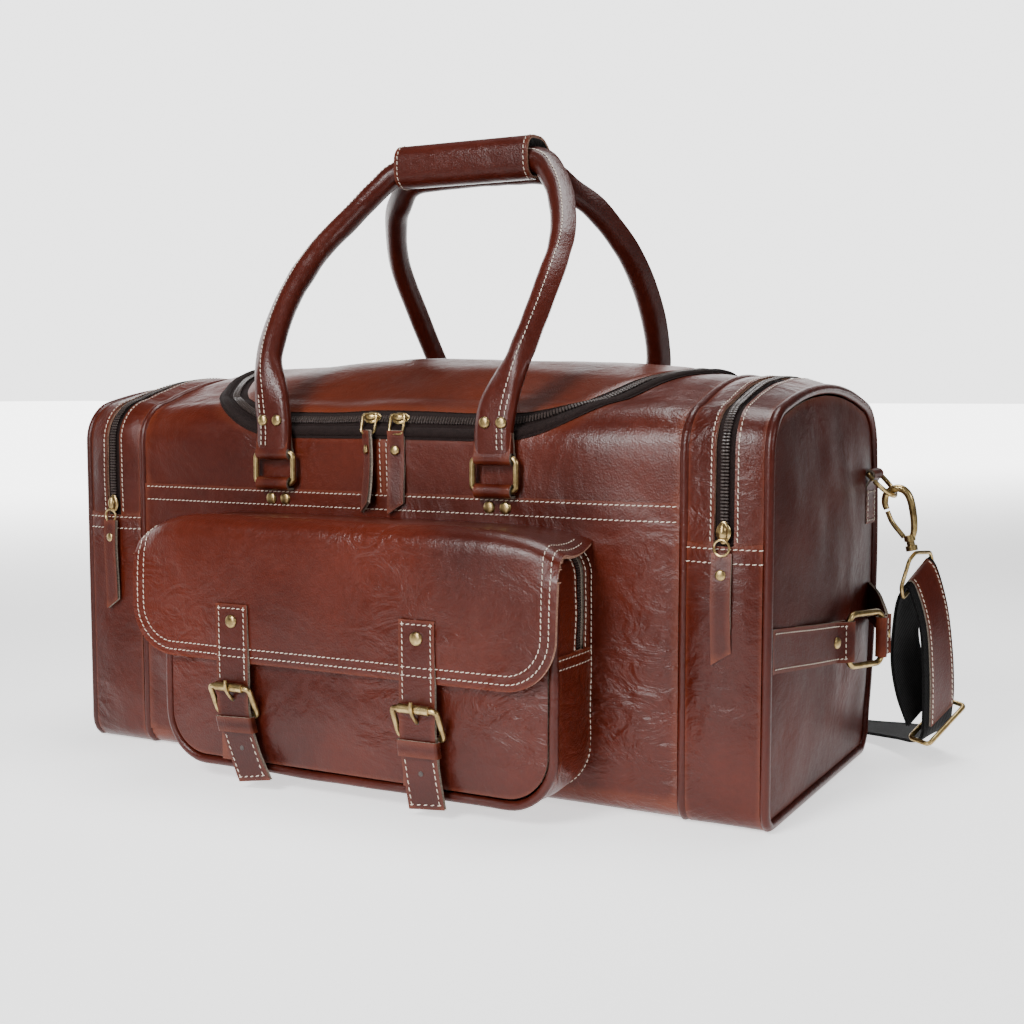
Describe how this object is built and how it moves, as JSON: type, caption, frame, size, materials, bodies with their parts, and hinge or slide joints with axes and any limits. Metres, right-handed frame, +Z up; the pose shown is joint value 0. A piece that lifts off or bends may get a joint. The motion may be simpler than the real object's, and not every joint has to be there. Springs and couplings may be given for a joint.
{
  "type": "weekender bag",
  "caption": "Leather weekender bag with a zipped domed lid, zipped end pockets, a buckled flap pocket, rolled handles on rings and a clip-on shoulder strap.",
  "frame": {"origin": "on the floor under the middle of the body", "axes": "+X along the length towards the end with the strap adjuster, -Y towards the front pocket, +Z up"},
  "size_m": [0.6868, 0.4483, 0.4649],
  "materials": {
    "leather": "satin, pebbled grain",
    "zip_tape": "matt woven tape",
    "webbing": "matt woven webbing",
    "antique_brass": "antiqued, satin"
  },
  "bodies": {
    "bag": {"base_panel": "leather", "front_panel": "leather", "rear_panel": "leather", "upper_panel_left": "leather", "upper_panel_right": "leather", "main_zip_body_tape": "zip_tape", "end_gusset_left": "leather", "end_gusset_right": "leather", "end_zip_left": "zip_tape", "end_zip_right": "zip_tape", "end_panel_left": "leather", "end_panel_right": "leather", "pocket_front": "leather", "pocket_gusset": "leather", "pocket_zip": "zip_tape", "ring_loops_front": "leather", "ring_loops_rear": "leather", "dring_tab_left": "leather", "dring_tab_right": "leather", "grab_strap_left": "leather", "grab_strap_right": "leather", "grab_ring_left": "antique_brass", "grab_ring_right": "antique_brass", "strap_loop_left": "antique_brass", "strap_loop_right": "antique_brass", "shoulder_webbing": "webbing", "shoulder_leather": "leather", "strap_adjuster": "antique_brass"},
    "lid": {"lid": "leather", "main_zip_lid_tape": "zip_tape"},
    "front_rings": {"handle_ring_front_left": "antique_brass", "handle_ring_front_right": "antique_brass"},
    "front_handle": {"handle_front": "leather", "grip_wrap": "leather"},
    "grip_flap": {"grip_flap": "leather"},
    "rear_rings": {"handle_ring_rear_left": "antique_brass", "handle_ring_rear_right": "antique_brass"},
    "rear_handle": {"handle_rear": "leather"},
    "pocket_flap": {"pocket_flap": "leather", "flap_strap_left": "leather", "buckle_frame_left": "antique_brass", "buckle_chape_left": "leather", "flap_strap_right": "leather", "buckle_frame_right": "antique_brass", "buckle_chape_right": "leather"},
    "pocket_pull": {"pocket_pull": "leather"},
    "main_slider_left": {"main_slider_left": "antique_brass"},
    "main_pull_left": {"main_pull_left": "leather"},
    "end_slider_left": {"end_slider_left": "antique_brass"},
    "end_pull_left": {"end_pull_left": "leather"},
    "dring_left": {"dring_left": "antique_brass"},
    "hook_left": {"snap_hook_left": "antique_brass"},
    "hook_gate_left": {"hook_gate_left": "antique_brass"},
    "main_slider_right": {"main_slider_right": "antique_brass"},
    "main_pull_right": {"main_pull_right": "leather"},
    "end_slider_right": {"end_slider_right": "antique_brass"},
    "end_pull_right": {"end_pull_right": "leather"},
    "dring_right": {"dring_right": "antique_brass"},
    "hook_right": {"snap_hook_right": "antique_brass"},
    "hook_gate_right": {"hook_gate_right": "antique_brass"}
  },
  "joints": [
    {"name": "front_ring_swing", "type": "hinge", "parent": "bag", "child": "front_rings", "pos_m": [0, -0.1325, 0.209], "axis": [1, 0, 0], "range_deg": [0, 30]},
    {"name": "front_handle_swing", "type": "hinge", "parent": "front_rings", "child": "front_handle", "pos_m": [0, -0.1325, 0.231], "axis": [1, 0, 0], "range_deg": [0, 105]},
    {"name": "rear_ring_swing", "type": "hinge", "parent": "bag", "child": "rear_rings", "pos_m": [0, 0.1325, 0.209], "axis": [-1, 0, 0], "range_deg": [0, 30]},
    {"name": "rear_handle_swing", "type": "hinge", "parent": "rear_rings", "child": "rear_handle", "pos_m": [0, 0.1325, 0.231], "axis": [-1, 0, 0], "range_deg": [0, 105]},
    {"name": "grip_flap_hinge", "type": "hinge", "parent": "front_handle", "child": "grip_flap", "pos_m": [0, 0.0008, 0.4638], "axis": [1, 0, 0], "range_deg": [0, 100], "deforming": ["grip_flap"]},
    {"name": "lid_hinge", "type": "hinge", "parent": "bag", "child": "lid", "pos_m": [0, 0.1, 0.266], "axis": [-1, 0, 0], "range_deg": [0, 42]},
    {"name": "pocket_flap_hinge", "type": "hinge", "parent": "bag", "child": "pocket_flap", "pos_m": [0, -0.1268, 0.1865], "axis": [1, 0, 0], "range_deg": [-60, 0]},
    {"name": "pocket_zip_slide", "type": "slide", "parent": "bag", "child": "pocket_pull", "axis": [0, 0, 1], "range_m": [0, 0.05]},
    {"name": "main_slider_left_slide", "type": "slide", "parent": "lid", "child": "main_slider_left", "axis": [-1, 0, 0], "range_m": [0, 0.05]},
    {"name": "main_pull_left_hinge", "type": "hinge", "parent": "main_slider_left", "child": "main_pull_left", "pos_m": [-0.0115, -0.1264, 0.2505], "axis": [-1, 0, 0], "range_deg": [0, 100]},
    {"name": "end_slider_left_slide", "type": "slide", "parent": "bag", "child": "end_slider_left", "axis": [0, 0, 1], "range_m": [0, 0.04]},
    {"name": "end_pull_left_hinge", "type": "hinge", "parent": "end_slider_left", "child": "end_pull_left", "pos_m": [-0.2495, -0.1267, 0.182], "axis": [-1, 0, 0], "range_deg": [0, 100]},
    {"name": "dring_left_hinge", "type": "hinge", "parent": "bag", "child": "dring_left", "pos_m": [-0.2852, 0.1, 0.214], "axis": [0, -1, 0], "range_deg": [0, 4]},
    {"name": "hook_left_swivel", "type": "hinge", "parent": "bag", "child": "hook_left", "pos_m": [-0.31476, 0.1, 0.15733], "axis": [-0.2189, 0, -0.9757], "range_deg": [-6, 6]},
    {"name": "hook_gate_left_hinge", "type": "hinge", "parent": "hook_left", "child": "hook_gate_left", "pos_m": [-0.30628, 0.1, 0.16907], "axis": [0, -1, 0], "range_deg": [0, 22], "stiffness_Nm_per_rad": 0.02},
    {"name": "main_slider_right_slide", "type": "slide", "parent": "lid", "child": "main_slider_right", "axis": [1, 0, 0], "range_m": [0, 0.05]},
    {"name": "main_pull_right_hinge", "type": "hinge", "parent": "main_slider_right", "child": "main_pull_right", "pos_m": [0.0115, -0.1264, 0.2505], "axis": [-1, 0, 0], "range_deg": [0, 100]},
    {"name": "end_slider_right_slide", "type": "slide", "parent": "bag", "child": "end_slider_right", "axis": [0, 0, 1], "range_m": [0, 0.04]},
    {"name": "end_pull_right_hinge", "type": "hinge", "parent": "end_slider_right", "child": "end_pull_right", "pos_m": [0.2495, -0.1267, 0.182], "axis": [-1, 0, 0], "range_deg": [0, 100]},
    {"name": "dring_right_hinge", "type": "hinge", "parent": "bag", "child": "dring_right", "pos_m": [0.2852, 0.1, 0.214], "axis": [0, 1, 0], "range_deg": [0, 4]},
    {"name": "hook_right_swivel", "type": "hinge", "parent": "bag", "child": "hook_right", "pos_m": [0.31476, 0.1, 0.15733], "axis": [0.2189, 0, -0.9757], "range_deg": [-6, 6]},
    {"name": "hook_gate_right_hinge", "type": "hinge", "parent": "hook_right", "child": "hook_gate_right", "pos_m": [0.30628, 0.1, 0.16907], "axis": [0, 1, 0], "range_deg": [0, 22], "stiffness_Nm_per_rad": 0.02}
  ],
  "couplings": [
    {"joint": "lid_hinge", "follows": "front_handle_swing", "ratio": 0.4}
  ]
}
